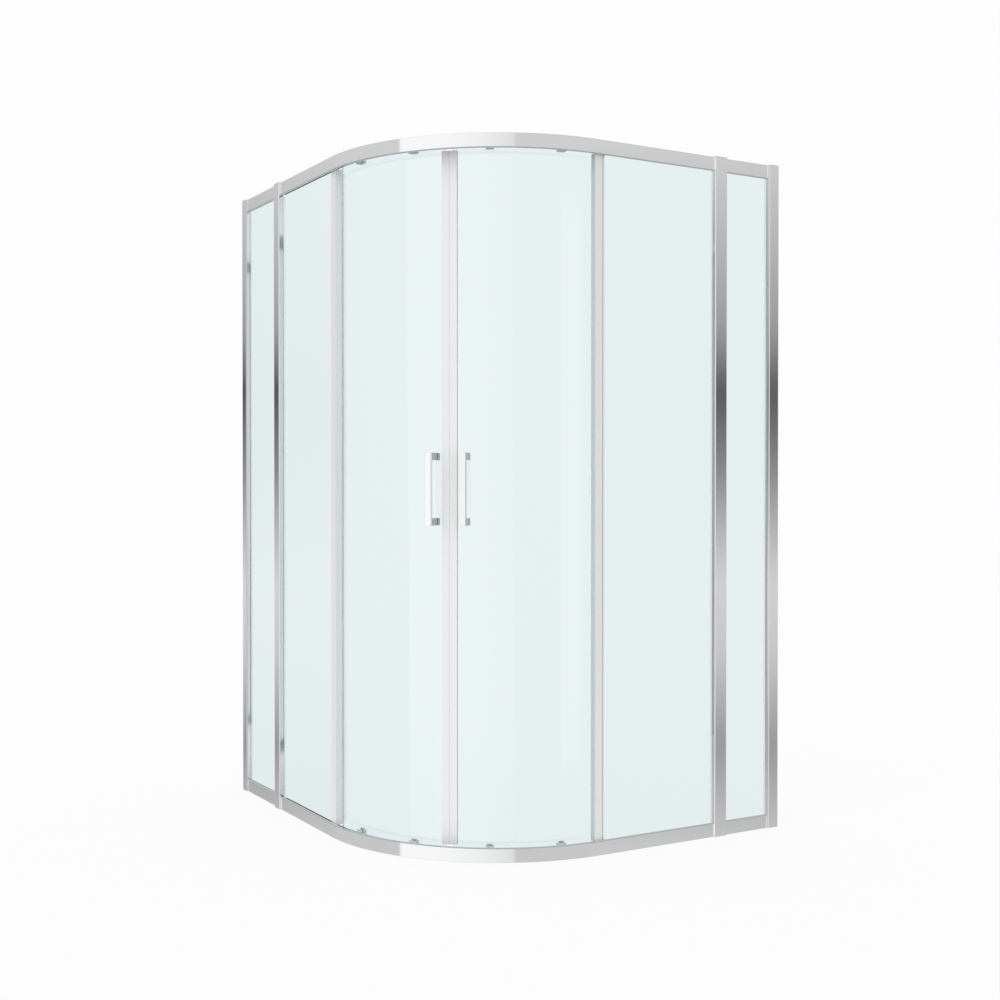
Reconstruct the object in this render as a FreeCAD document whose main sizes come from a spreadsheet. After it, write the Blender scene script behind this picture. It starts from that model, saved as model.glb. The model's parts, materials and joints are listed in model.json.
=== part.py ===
import FreeCAD, Part
import math
import os

import Sketcher
from FreeCAD import Vector

# Corner shower enclosure with two curved sliding doors, in millimetres.
#
# Plan: the left outer rail face and the right outer rail face are two planes at right angles, joined by
# a quarter arc. "Depth" is counted from the outer rail face towards the inside, "along" from the plane
# of the other face towards the wall. The quadrant is the same on both sides of its diagonal, so the
# left side is built and the right side is its mirror image. The origin is the centre of the footprint.

doc = FreeCAD.newDocument("corner_shower_enclosure")
sheet = doc.addObject("Spreadsheet::Sheet", "dims")
derived = doc.addObject("App::VarSet", "derived")


# Sizes

class Size:
    """A length or angle as formula text for the document, with its present value."""

    def __init__(self, text, value):
        self.text = text
        self.value = value

    def joined(self, sign, other, value, swap=False):
        texts = [self.text, written(other)]
        if swap:
            texts.reverse()
        return Size("(%s %s %s)" % (texts[0], sign, texts[1]), value)

    def __add__(self, other):
        return self.joined("+", other, self.value + number(other))

    def __radd__(self, other):
        return self.joined("+", other, number(other) + self.value, swap=True)

    def __sub__(self, other):
        return self.joined("-", other, self.value - number(other))

    def __rsub__(self, other):
        return self.joined("-", other, number(other) - self.value, swap=True)

    def __mul__(self, other):
        return self.joined("*", other, self.value * number(other))

    def __rmul__(self, other):
        return self.joined("*", other, number(other) * self.value, swap=True)

    def __truediv__(self, other):
        return self.joined("/", other, self.value / number(other))

    def __neg__(self):
        return Size("(0 - %s)" % self.text, -self.value)


def number(item):
    return item.value if isinstance(item, Size) else float(item)


def written(item):
    return item.text if isinstance(item, Size) else repr(float(item))


def cosine(angle):
    return Size("cos(%s)" % written(angle), math.cos(math.radians(number(angle))))


def sine(angle):
    return Size("sin(%s)" % written(angle), math.sin(math.radians(number(angle))))


def root(item):
    return Size("sqrt(%s)" % item.text, math.sqrt(item.value))


def bearing(dx, dy):
    """Angle in degrees of a direction that points to the right."""
    text = "(atan(%s / %s) / 1 deg)" % (written(dy), written(dx))
    return Size(text, math.degrees(math.atan(number(dy) / number(dx))))


def arc_degrees(length, radius):
    return length * (180 / math.pi) / radius


def derive(name, size):
    """Keep a worked-out size in the document under its own name."""
    derived.addProperty("App::PropertyFloat", name)
    derived.setExpression(name, size.text)
    return Size("derived." + name, size.value)


SIZES = {
    # overall
    "arc_radius": 550,
    "side_length": 991,
    "left_extension": 293,
    "right_extension": 197,
    "frame_height": 1950,
    # rails
    "rail_height": 40,
    "rail_wall": 2,
    "rail_edge": 0.8,
    "rail_lip": 3,
    "rail_cover": 34,
    "rib_thick": 1.5,
    "slot_wall": 2,
    "slot_height": 36,
    "port_height": 9,
    # glass
    "glass_thick": 6,
    "fixed_setback": 10,
    "gasket_thick": 0.5,
    "glass_grip": 16,
    "side_grip": 12,
    "gasket_width": 10,
    "cutter_extra": 1,
    # posts
    "post_width": 43,
    "post_proud": 4.5,
    "post_round": 2.5,
    "post_wall": 2,
    "post_web": 1.2,
    # walls
    "wall_width": 34,
    "wall_depth": 23,
    "wall_proud": 2,
    "wall_thick": 2,
    "wall_lip": 20,
    "wall_round": 2,
    "wall_hole_radius": 3,
    "wall_hole_inset": 120,
    # extensions
    "stile_reveal": 6,
    "stile_width": 24,
    "stile_play": 0.3,
    "extension_setback": 2,
    # caps
    "cap_thick": 2,
    "cap_inset": 0.3,
    # screws
    "screw_radius": 2,
    "screw_head_radius": 2.8,
    "screw_head": 2.5,
    "screw_bite": 18,
    "screw_play": 0.1,
    "screw_drop": 5.5,
    "screw_depth": 5.4,
    "access_play": 0.2,
    # seam
    "seam_start": 9,
    "seam_width": 31,
    "seam_wall": 1.5,
    "seam_nib": 6,
    "seam_clear": 0.5,
    "seam_fin": 10,
    # doors
    "door_setback": 38,
    "door_overlap": 15,
    "door_top_gap": 8,
    "door_foot": 20,
    "meeting_gap": 0.3,
    "magnet_width": 21,
    "magnet_depth": 12,
    "magnet_cover": 10,
    "tail_width": 14,
    "tail_wall": 1.2,
    "seal_play": 0.1,
    "seat_play": 0.05,
    "door_travel": 270,
    # track
    "pivot_across": 241.2,
    "pivot_along": 63.6,
    "wheel_setback": 29.6,
    "ledge_thick": 2.5,
    "ledge_run": 205,
    "lip_thick": 1.2,
    "lip_height": 2,
    "lip_play": 0.4,
    "ledge_reach": 22,
    # rollers
    "front_angle": 32.7,
    "rear_angle": 10.25,
    "wheel_radius": 8,
    "guide_radius": 6,
    "wheel_width": 4,
    "axle_radius": 2,
    "axle_play": 0.05,
    "press_play": 0.02,
    "wheel_gap": 0.1,
    "wheel_headroom": 0.4,
    "plate_width": 22,
    "plate_thick": 3.5,
    "plate_top": 5,
    "plate_foot": 34,
    "boss_radius": 5,
    "boss_gap": 0.6,
    "stud_radius": 3,
    "stud_play": 0.05,
    "glass_hole_radius": 4,
    "stud_drop": 26.5,
    "clamp_height": 14,
    "clamp_depth": 9,
    # release
    "guide_stud": 28,
    "housing_foot": 22,
    "housing_height": 14,
    "housing_depth": 8,
    "pad_thick": 3,
    "pad_rise": 2.5,
    "slider_width": 14,
    "slider_thick": 3,
    "slider_gap": 0.3,
    "slider_play": 0.2,
    "slider_top": 39.5,
    "slot_play": 0.3,
    "foot_height": 8.5,
    "foot_width": 10,
    "foot_boss_radius": 3.4,
    "boss_root": 2,
    "spring_radius": 1.3,
    "spring_wire": 0.4,
    "spring_length": 5,
    # stops
    "stop_length": 12,
    "stop_depth": 12,
    "stop_height": 13,
    "stop_gap": 1,
    # handles
    "handle_inset": 44.5,
    "handle_height": 1000,
    "handle_length": 197,
    "handle_width": 18,
    "handle_thick": 12,
    "handle_standoff": 34,
    "handle_foot": 20,
    "knob_depth": 16,
    "handle_round": 1,
    "handle_screw_radius": 2.5,
    "handle_screw_play": 0.1,
    "handle_screw_reach": 12,
}


class Dimensions:
    """The driving dimensions: one aliased cell each, read as attributes."""

    def __init__(self, sizes):
        for row, (name, value) in enumerate(sizes.items(), start=1):
            sheet.set("A%d" % row, name)
            sheet.set("B%d" % row, str(value))
            sheet.setAlias("B%d" % row, name)
            setattr(self, name, Size("dims." + name, float(value)))


size = Dimensions(SIZES)


# Headings in plan, in degrees: from a side's end to its wall, and the quadrant's diagonal on the arc
TO_WALL = 90
DIAGONAL = TO_WALL / 2

# Screw holes up each wall channel
WALL_HOLES = 4


# Worked-out places

left_length = derive("left_length", size.side_length + size.left_extension)
right_length = derive("right_length", size.side_length + size.right_extension)
face_x = derive("face_x", -(right_length - size.post_proud) / 2)
face_y = derive("face_y", -(left_length - size.post_proud) / 2)
arc_x = derive("arc_x", face_x + size.arc_radius)
arc_y = derive("arc_y", face_y + size.arc_radius)
top = size.frame_height
rail_end = derive("rail_end", size.side_length - size.post_width)
slot_front = derive("slot_front", size.fixed_setback - size.gasket_thick)
slot_back = derive("slot_back", size.fixed_setback + size.glass_thick + size.gasket_thick)
rail_back = derive("rail_back", slot_back + size.slot_wall)
rail_opening = derive("rail_opening", size.rail_height - size.glass_grip)
screw_hole = derive("screw_hole", size.screw_radius + size.screw_play)

door_outer = derive("door_outer", size.arc_radius - size.door_setback)
door_inner = derive("door_inner", door_outer - size.glass_thick)
overlap_angle = derive("overlap_angle", arc_degrees(size.door_overlap, door_outer))
meeting_angle = derive("meeting_angle", DIAGONAL - arc_degrees(size.meeting_gap, door_outer))
leading_angle = derive("leading_angle", DIAGONAL - arc_degrees(size.magnet_cover, door_outer))
handle_angle = derive("handle_angle", DIAGONAL - arc_degrees(size.handle_inset, door_outer))
door_top = derive("door_top", top - size.door_top_gap)

wheel_room = size.wheel_headroom + 2 * size.wheel_radius + size.wheel_gap
ledge_drop = derive("ledge_drop", size.rail_wall + wheel_room)
stud_top = derive("stud_top", top - size.stud_drop)
wheel_level = derive("wheel_level", top - ledge_drop + size.wheel_gap + size.wheel_radius)
guide_level = derive("guide_level", ledge_drop - size.wheel_gap - size.guide_radius)

# Each door turns about an upright axis beyond the arc's centre, and its wheels run on one arc about it.
pivot_x = derive("pivot_x", arc_x + size.pivot_across)
pivot_y = derive("pivot_y", arc_y + size.pivot_along)


def pivot_share(angle):
    return size.pivot_across * cosine(angle) + size.pivot_along * sine(angle)


pivot_square = size.pivot_across * size.pivot_across + size.pivot_along * size.pivot_along
rear_reach = size.arc_radius - size.wheel_setback
track_radius = derive(
    "track_radius",
    root(pivot_square + rear_reach * rear_reach + 2 * rear_reach * pivot_share(size.rear_angle)))
edge_radius = derive("edge_radius", track_radius - size.wheel_width / 2 - size.lip_play - size.lip_thick)
lip_radius = derive("lip_radius", edge_radius + size.lip_thick)
boss_start = derive("boss_start", size.wheel_width / 2 + size.lip_play + size.lip_thick + size.boss_gap)


class Roller:
    """Where one roller of the left door stands: its place on the arc and its wheel on the track."""

    def __init__(self, name, angle):
        share = pivot_share(angle)
        self.name = name
        self.angle = angle
        reach = root(share * share - pivot_square + track_radius * track_radius) - share
        self.reach = derive(name + "_reach", reach)
        self.x = derive(name + "_x", arc_x - self.reach * cosine(angle))
        self.y = derive(name + "_y", arc_y - self.reach * sine(angle))
        self.heading = derive(name + "_heading", bearing(pivot_x - self.x, pivot_y - self.y))
        self.standoff = derive(name + "_standoff", self.reach - door_outer)


rollers = [Roller("front", size.front_angle), Roller("rear", size.rear_angle)]


# Building blocks

def bind(item, prop, value):
    item.setExpression(prop, written(value))


def place(item, x, y, z, axis=("0", "0", "1"), angle=0):
    where = "; ".join(written(v) for v in (x, y, z))
    spin = "rotation(vector(%s); %s)" % ("; ".join(axis), written(angle))
    item.setExpression("Placement", "placement(vector(%s); %s)" % (where, spin))


def box(name, x, y, z, length, width, height, turn=0):
    item = doc.addObject("Part::Box", name)
    bind(item, "Length", length)
    bind(item, "Width", width)
    bind(item, "Height", height)
    place(item, x, y, z, angle=turn)
    return item


def side_box(name, depth, along, z, thick, length, height):
    """A box of the left side, by its depth behind the rail face and its place along the side."""
    return box(name, face_x + depth, face_y + along, z, thick, length, height)


def arc_box(name, angle, radius, z, thick, width, height):
    """A box on the arc whose outer face lies at a radius; it reaches towards the arc's centre."""
    half = width / 2
    x = arc_x - radius * cosine(angle) + half * sine(angle)
    y = arc_y - radius * sine(angle) - half * cosine(angle)
    return box(name, x, y, z, thick, width, height, turn=angle)


def upright(name, x, y, z, radius, height, start=0, sweep=360):
    item = doc.addObject("Part::Cylinder", name)
    bind(item, "Radius", radius)
    bind(item, "Height", height)
    bind(item, "Angle", sweep)
    place(item, x, y, z, angle=start)
    return item


def rod(name, x, y, z, heading, radius, length):
    """A level cylinder that starts at a point and runs along a heading in plan."""
    item = doc.addObject("Part::Cylinder", name)
    bind(item, "Radius", radius)
    bind(item, "Height", length)
    axis = (written(-sine(heading)), written(cosine(heading)), "0")
    place(item, x, y, z, axis=axis, angle=90)
    return item


def arc_rod(name, angle, radius, z, rod_radius, length):
    """A level cylinder that starts at a radius on the arc and points to the arc's centre."""
    x = arc_x - radius * cosine(angle)
    y = arc_y - radius * sine(angle)
    return rod(name, x, y, z, angle, rod_radius, length)


def wheel_rod(name, roller, offset, z, rod_radius, length):
    """A level cylinder on a roller's wheel axis, starting at an offset from the wheel's middle."""
    x = roller.x + offset * cosine(roller.heading)
    y = roller.y + offset * sine(roller.heading)
    return rod(name, x, y, z, roller.heading, rod_radius, length)


def fuse(name, shapes):
    item = doc.addObject("Part::MultiFuse", name)
    item.Shapes = list(shapes)
    item.Refine = True
    return item


def cut(name, base, tools):
    item = doc.addObject("Part::Cut", name)
    item.Base = base
    item.Tool = tools[0] if len(tools) == 1 else fuse(name + "_tools", tools)
    return item


def common(name, base, tool):
    item = doc.addObject("Part::Common", name)
    item.Base = base
    item.Tool = tool
    return item


def group(name, shapes):
    item = doc.addObject("Part::Compound", name)
    item.Links = list(shapes)
    return item


def mirrored(name, source):
    """The mirror image across the upright plane on the quadrant's diagonal."""
    item = doc.addObject("Part::Mirroring", name)
    item.Source = source
    item.Normal = Vector(1, -1, 0)
    bind(item, "Base.x", arc_x)
    bind(item, "Base.y", arc_y)
    return item


def arc_shell(name, outer, inner, start, end, z, height):
    """A curved wall about the arc's centre, from one arc angle to another."""
    first = upright(name + "_outer", arc_x, arc_y, z, outer, height, start=180 + start, sweep=end - start)
    second = upright(name + "_inner", arc_x, arc_y, z, inner, height, start=180 + start, sweep=end - start)
    return cut(name, first, [second])


def sketch_on(body, name, role):
    sketch = body.newObject("Sketcher::SketchObject", name)
    plane = [item for item in body.Origin.OriginFeatures if item.Role == role][0]
    sketch.AttachmentSupport = [(plane, "")]
    sketch.MapMode = "FlatFace"
    return sketch


def hold(sketch, kind, geometry, point, value):
    index = sketch.addConstraint(Sketcher.Constraint(kind, -1, 1, geometry, point, number(value)))
    bind(sketch, "Constraints[%d]" % index, value)


def draw_loop(sketch, corners):
    """A closed outline with straight sides, each corner held by its two distances from the origin."""
    first = sketch.GeometryCount
    count = len(corners)
    spots = [Vector(number(a), number(b), 0) for a, b in corners]
    for i in range(count):
        sketch.addGeometry(Part.LineSegment(spots[i], spots[(i + 1) % count]))
    for i in range(count):
        following = first + (i + 1) % count
        sketch.addConstraint(Sketcher.Constraint("Coincident", first + i, 2, following, 1))
    for i, (a, b) in enumerate(corners):
        hold(sketch, "DistanceX", first + i, 1, a)
        hold(sketch, "DistanceY", first + i, 1, b)


def extruded(name, role, loops, length, middle=False):
    """A body padded from outlines on one of its own planes."""
    body = doc.addObject("PartDesign::Body", name)
    sketch = sketch_on(body, name + "_outline", role)
    for corners in loops:
        draw_loop(sketch, corners)
    pad = body.newObject("PartDesign::Pad", name + "_pad")
    pad.Profile = sketch
    pad.Midplane = middle
    bind(pad, "Length", length)
    return body


def round_edges(body, name, radius, wanted):
    """Round the edges of a body that a test picks out."""
    doc.recompute()
    sharp = body.Tip
    edges = ["Edge%d" % (i + 1) for i, edge in enumerate(sharp.Shape.Edges) if wanted(edge)]
    fillet = body.newObject("PartDesign::Fillet", name)
    fillet.Base = (sharp, edges)
    bind(fillet, "Radius", radius)
    return body


def is_upright(edge):
    ends = [vertex.Point for vertex in edge.Vertexes]
    return len(ends) == 2 and abs((ends[1] - ends[0]).normalize().z) > 0.999


parts = {}


def part(name, item):
    """Name an item as a finished sub-part."""
    item.Label = name
    parts[name] = item
    return item


def both_sides(name, item):
    """A sub-part of the left side and its mirror image on the right."""
    part("left_" + name, item)
    part("right_" + name, mirrored("right_" + name, item))


# Curved rails

def rail_section(level):
    """Outline of the rail: face, cover over the wheels, screw port and the slot for the fixed glass."""
    wall = size.rail_wall
    edge = size.rail_edge
    rib_back = slot_front
    rib_front = slot_front - size.rib_thick
    corners = [
        (0, edge), (edge, 0), (size.rail_cover, 0), (size.rail_cover, wall),
        (rail_back, wall), (rail_back, size.slot_height), (slot_back, size.slot_height), (slot_back, wall),
        (rib_back, wall), (rib_back, size.slot_height), (rib_front, size.slot_height),
        (rib_front, size.port_height), (wall, size.port_height),
        (wall, size.rail_height - wall), (wall + size.rail_lip, size.rail_height - wall),
        (wall + size.rail_lip, size.rail_height), (edge, size.rail_height), (0, size.rail_height - edge)]
    return [(face_x + depth, level(drop)) for depth, drop in corners]


def rail_body(name, level):
    body = doc.addObject("PartDesign::Body", name)
    path = sketch_on(body, name + "_path", "XY_Plane")
    left_end = Vector(face_x.value, face_y.value + rail_end.value, 0)
    left_tangent = Vector(face_x.value, arc_y.value, 0)
    right_tangent = Vector(arc_x.value, face_y.value, 0)
    right_end = Vector(face_x.value + rail_end.value, face_y.value, 0)
    circle = Part.Circle(Vector(arc_x.value, arc_y.value, 0), Vector(0, 0, 1), size.arc_radius.value)
    path.addGeometry(Part.LineSegment(left_end, left_tangent))
    path.addGeometry(Part.ArcOfCircle(circle, math.pi, 1.5 * math.pi))
    path.addGeometry(Part.LineSegment(right_tangent, right_end))
    path.addConstraint(Sketcher.Constraint("Coincident", 0, 2, 1, 1))
    path.addConstraint(Sketcher.Constraint("Coincident", 1, 2, 2, 1))
    path.addConstraint(Sketcher.Constraint("Horizontal", 2))
    hold(path, "DistanceX", 0, 1, face_x)
    hold(path, "DistanceY", 0, 1, face_y + rail_end)
    hold(path, "DistanceX", 0, 2, face_x)
    hold(path, "DistanceY", 0, 2, arc_y)
    hold(path, "DistanceX", 1, 3, arc_x)
    hold(path, "DistanceY", 1, 3, arc_y)
    hold(path, "DistanceX", 2, 1, arc_x)
    hold(path, "DistanceX", 2, 2, face_x + rail_end)
    section = sketch_on(body, name + "_section", "XZ_Plane")
    bind(section, "AttachmentOffset.Base.z", -(face_y + rail_end))
    draw_loop(section, rail_section(level))
    pipe = body.newObject("PartDesign::AdditivePipe", name + "_sweep")
    pipe.Profile = section
    pipe.Spine = path
    return body


def ledge_ground(name, z, height):
    """Plan area behind the left half of a rail that the wheel ledge is cut from."""
    reach = size.ledge_reach
    start = rail_back - size.slot_wall / 2
    outer = size.arc_radius - start
    curve = arc_shell(name + "_curve", outer, outer - reach, 0, DIAGONAL, z, height)
    straight = side_box(name + "_straight", start, size.arc_radius, z, reach, size.ledge_run, height)
    return fuse(name, [curve, straight])


def wheel_ledge(name, ledge_z, lip_z):
    """The ledge that the left door's wheels run on, with a lip along its edge."""
    plate = ledge_ground(name + "_plate", ledge_z, size.ledge_thick)
    plate_edge = upright(name + "_plate_edge", pivot_x, pivot_y, ledge_z, edge_radius, size.ledge_thick)
    strip = ledge_ground(name + "_strip", lip_z, size.lip_height)
    strip_back = upright(name + "_strip_back", pivot_x, pivot_y, lip_z, lip_radius, size.lip_height)
    strip_edge = upright(name + "_strip_edge", pivot_x, pivot_y, lip_z, edge_radius, size.lip_height)
    ledge = cut(name + "_ledge", plate, [plate_edge])
    lip = cut(name + "_lip", common(name + "_lip_ground", strip, strip_back), [strip_edge])
    return fuse(name, [ledge, lip])


def port_hole(name, z):
    """Screw hole in the left end of a rail."""
    start = rail_end - size.screw_bite
    return rod(name, face_x + size.screw_depth, face_y + start, z, TO_WALL, screw_hole, size.screw_bite)


def make_rail(name, level, ledge_z, lip_z):
    ledge = wheel_ledge(name + "_left_track", ledge_z, lip_z)
    hole = port_hole(name + "_left_port", level(size.screw_drop))
    body = rail_body(name + "_body", level)
    whole = fuse(name + "_with_tracks", [body, ledge, mirrored(name + "_right_track", ledge)])
    part(name, cut(name, whole, [hole, mirrored(name + "_right_port", hole)]))


def below_top(drop):
    return top - drop


def above_floor(rise):
    return rise


make_rail("top_rail", below_top, top - ledge_drop - size.ledge_thick, top - ledge_drop)
make_rail("bottom_rail", above_floor, ledge_drop, ledge_drop - size.lip_height)


# Posts between the quadrant and the extension panels

screw_levels = (("foot", size.screw_drop), ("head", top - size.screw_drop))

def make_post():
    """A hollow front with a stem behind it, which leaves a rebate for the pane at each side."""
    front = face_x - size.post_proud
    near = face_y + rail_end
    far = face_y + size.side_length
    wall = size.post_wall
    grip = size.side_grip + size.gasket_thick
    mouth = face_x + slot_front
    heel = face_x + slot_back
    outline = [
        (front, near), (mouth, near), (mouth, near + grip), (heel, near + grip), (heel, far - grip),
        (mouth, far - grip), (mouth, far), (front, far)]
    chamber = [
        (front + wall, near + wall), (mouth - size.post_web, near + wall),
        (mouth - size.post_web, far - wall), (front + wall, far - wall)]
    body = extruded("left_post_body", "XY_Plane", [outline, chamber], top)
    level = front.value

    def outer_corner(edge):
        return is_upright(edge) and abs(edge.Vertexes[0].X - level) < 1e-4

    round_edges(body, "left_post_rounding", size.post_round, outer_corner)
    access = size.screw_head_radius + size.access_play
    x = face_x + size.screw_depth
    holes = []
    for end, z in screw_levels:
        holes.append(rod("left_post_hole_" + end, x, near, z, TO_WALL, screw_hole, wall))
        holes.append(rod("left_post_access_" + end, x, far - wall, z, TO_WALL, access, wall))
    return cut("left_post_drilled", body, holes)


both_sides("post", make_post())


# Extension panels: wall channel, stile, two rails and glass

def wall_channel(name, length):
    """A channel with a wide flange at the front and a short one at the back."""
    front = face_x - size.wall_proud
    back = front + size.wall_depth
    far = face_y + length
    near = far - size.wall_width
    wall = size.wall_thick
    outline = [
        (front, near), (front + wall, near), (front + wall, far - wall), (back - wall, far - wall),
        (back - wall, far - size.wall_lip), (back, far - size.wall_lip), (back, far), (front, far)]
    body = extruded(name + "_body", "XY_Plane", [outline], top)
    level = front.value
    wall_line = far.value

    def outer_corner(edge):
        point = edge.Vertexes[0]
        return is_upright(edge) and abs(point.X - level) < 1e-4 and abs(point.Y - wall_line) < 1e-4

    round_edges(body, name + "_rounding", size.wall_round, outer_corner)
    middle = front + size.wall_depth / 2
    pitch = (top - 2 * size.wall_hole_inset) / (WALL_HOLES - 1)
    holes = []
    for row in range(WALL_HOLES):
        tag = "%s_hole_%d" % (name, row)
        z = size.wall_hole_inset + row * pitch
        holes.append(rod(tag, middle, far - wall, z, TO_WALL, size.wall_hole_radius, wall))
    return cut(name, body, holes)


def stile_along(length):
    """Where the stile's edge towards the glass lies along the side."""
    return length - size.wall_width - size.stile_reveal


def wall_stile(name, length):
    front = face_x - size.wall_proud + size.wall_thick + size.stile_play
    near = face_y + stile_along(length)
    far = near + size.stile_width
    wall = size.post_wall
    grip = size.side_grip + size.gasket_thick
    mouth = face_x + slot_front
    heel = face_x + slot_back
    outline = [
        (front, near), (mouth, near), (mouth, near + grip), (heel, near + grip), (heel, far), (front, far)]
    chamber = [
        (front + wall, near + wall), (mouth - size.post_web, near + wall),
        (mouth - size.post_web, far - wall), (front + wall, far - wall)]
    body = extruded(name + "_body", "XY_Plane", [outline, chamber], top)
    access = size.screw_head_radius + size.access_play
    x = face_x + size.screw_depth
    holes = []
    for end, z in screw_levels:
        holes.append(rod("%s_hole_%s" % (name, end), x, near, z, TO_WALL, screw_hole, wall))
        holes.append(rod("%s_access_%s" % (name, end), x, far - wall, z, TO_WALL, access, wall))
    return cut(name, body, holes)


def extension_rail(name, length, level):
    near = size.side_length
    far = stile_along(length)
    wall = size.rail_wall
    front = size.extension_setback
    edge = size.rail_edge
    rib_front = slot_front - size.rib_thick
    corners = [
        (front, edge), (front + edge, 0), (rail_back, 0), (rail_back, size.slot_height),
        (slot_back, size.slot_height), (slot_back, wall), (slot_front, wall), (slot_front, size.slot_height),
        (rib_front, size.slot_height), (rib_front, size.port_height), (front + wall, size.port_height),
        (front + wall, size.rail_height - wall), (rib_front, size.rail_height - wall),
        (rib_front, size.rail_height), (front + edge, size.rail_height), (front, size.rail_height - edge)]
    outline = [(face_x + depth, level(drop)) for depth, drop in corners]
    body = extruded(name + "_body", "XZ_Plane", [outline], far - near)
    place(body, 0, face_y + far, 0)
    start = face_y + far - size.screw_bite
    hole = rod(name + "_port", face_x + size.screw_depth, start, level(size.screw_drop), TO_WALL, screw_hole,
               size.screw_bite)
    return cut(name, body, [hole])


def pane(name, start, end):
    z = rail_opening
    return side_box(name, size.fixed_setback, start, z, size.glass_thick, end - start, top - 2 * z)


def panel_gaskets(name, start, end, sides):
    """Thin strips on both faces of a pane, along the edges that sit in a slot."""
    z = rail_opening
    strips = []
    lap = size.slot_height - rail_opening
    for face, depth in (("outer", slot_front), ("inner", size.fixed_setback + size.glass_thick)):
        tag = "%s_%s" % (name, face)
        for edge, level in (("foot", z), ("head", top - z - lap)):
            strips.append(side_box("%s_%s" % (tag, edge), depth, start + size.side_grip, level,
                                   size.gasket_thick, end - start - 2 * size.side_grip, lap))
        for edge, along in sides.items():
            strips.append(side_box("%s_%s" % (tag, edge), depth, along, size.slot_height,
                                   size.gasket_thick, size.gasket_width, top - 2 * size.slot_height))
    return strips


def glazing_bead(name, along, width):
    """A clear strip on the back of an upright that closes the rebates and holds the panes in them."""
    return side_box(name, slot_back, along, 0, size.slot_wall, width, top)


def frame_screws(name, along):
    """Two screws, low and high, through an upright's wall into the ends of the rails beside it."""
    x = face_x + size.screw_depth
    y = face_y + along
    shank = size.post_wall + size.screw_bite
    screws = []
    for end, z in screw_levels:
        tag = "%s_%s" % (name, end)
        shaft = rod(tag + "_shank", x, y - size.screw_bite, z, TO_WALL, size.screw_radius, shank)
        head = rod(tag + "_head", x, y + size.post_wall, z, TO_WALL, size.screw_head_radius, size.screw_head)
        screws.append(fuse(tag, [shaft, head]))
    return screws


def wall_cap(name, length):
    inset = size.cap_inset
    depth = inset - size.wall_proud
    along = length - size.wall_width + inset
    return side_box(name, depth, along, top, size.wall_depth - 2 * inset, size.wall_width - 2 * inset,
                    size.cap_thick)


gaskets = []
beads = []
screws = []
caps = []
for hand, length in (("left", left_length), ("right", right_length)):
    start = size.side_length - size.side_grip
    end = stile_along(length) + size.side_grip
    sides = {"post": size.side_length - size.gasket_width, "stile": stile_along(length)}
    pieces = {
        "wall_profile": wall_channel(hand + "_channel", length),
        "wall_stile": wall_stile(hand + "_upright", length),
        "extension_top_rail": extension_rail(hand + "_head_rail", length, below_top),
        "extension_bottom_rail": extension_rail(hand + "_foot_rail", length, above_floor),
        "extension_glass": pane(hand + "_narrow_pane", start, end),
    }
    strips = panel_gaskets(hand + "_narrow_gasket", start, end, sides)
    backs = [glazing_bead(hand + "_stile_bead", stile_along(length), size.stile_width)]
    tops = [wall_cap(hand + "_wall_cap", length)]
    fixings = frame_screws(hand + "_stile_screw", stile_along(length))
    if hand == "right":
        pieces = {name: mirrored("right_" + name, item) for name, item in pieces.items()}
        strips = [mirrored(item.Name + "_right", item) for item in strips]
        backs = [mirrored(item.Name + "_right", item) for item in backs]
        tops = [mirrored(item.Name + "_right", item) for item in tops]
        fixings = [mirrored(item.Name + "_right", item) for item in fixings]
    for name, item in pieces.items():
        part("%s_%s" % (hand, name), item)
    gaskets += strips
    beads += backs
    caps += tops
    screws += fixings


# Fixed panels of the quadrant

fixed_start = derive("fixed_start", size.arc_radius - size.seam_start + size.seam_nib)
fixed_end = derive("fixed_end", rail_end + size.side_grip)
both_sides("fixed_glass", pane("left_fixed_pane", fixed_start, fixed_end))

fixed_strips = panel_gaskets("left_fixed_gasket", fixed_start, fixed_end, {"post": rail_end})
gaskets += fixed_strips + [mirrored(item.Name + "_right", item) for item in fixed_strips]
part("glazing_gaskets", group("glazing_gaskets", gaskets))

post_bead = glazing_bead("left_post_bead", rail_end, size.post_width)
beads += [post_bead, mirrored("right_post_bead", post_bead)]
part("glazing_beads", group("glazing_beads", beads))


def make_seam_seal():
    """Edge seal on the free edge of the fixed glass: a channel, and a fin towards the door."""
    near = face_y + size.arc_radius - size.seam_start
    far = near + size.seam_width
    wall = size.seam_wall
    front = face_x + size.fixed_setback
    back = front + size.glass_thick
    floor = near + size.seam_nib
    fin = back + wall + size.seam_fin
    outline = [
        (front - wall, near), (fin, near), (fin, near + wall), (back + wall, near + wall), (back + wall, far),
        (back, far), (back, floor), (front, floor), (front, far), (front - wall, far)]
    body = extruded("left_seam_seal_body", "XY_Plane", [outline], top - 2 * seam_foot)
    place(body, 0, 0, seam_foot)
    return body


seam_foot = derive("seam_foot", size.slot_height + size.seam_clear)
both_sides("seam_seal", make_seam_seal())


# Caps and screws

post_cap = side_box("left_post_cap", size.cap_inset - size.post_proud, rail_end + size.cap_inset, top,
                    size.post_proud + rail_back - 2 * size.cap_inset, size.post_width - 2 * size.cap_inset,
                    size.cap_thick)
caps += [post_cap, mirrored("right_post_cap", post_cap)]
part("profile_caps", group("profile_caps", caps))

rail_screws = frame_screws("left_rail_screw", rail_end)
screws += rail_screws + [mirrored(item.Name + "_right", item) for item in rail_screws]
part("frame_screws", group("frame_screws", screws))


# Stops at the end of the doors' travel, in both rails

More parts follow.
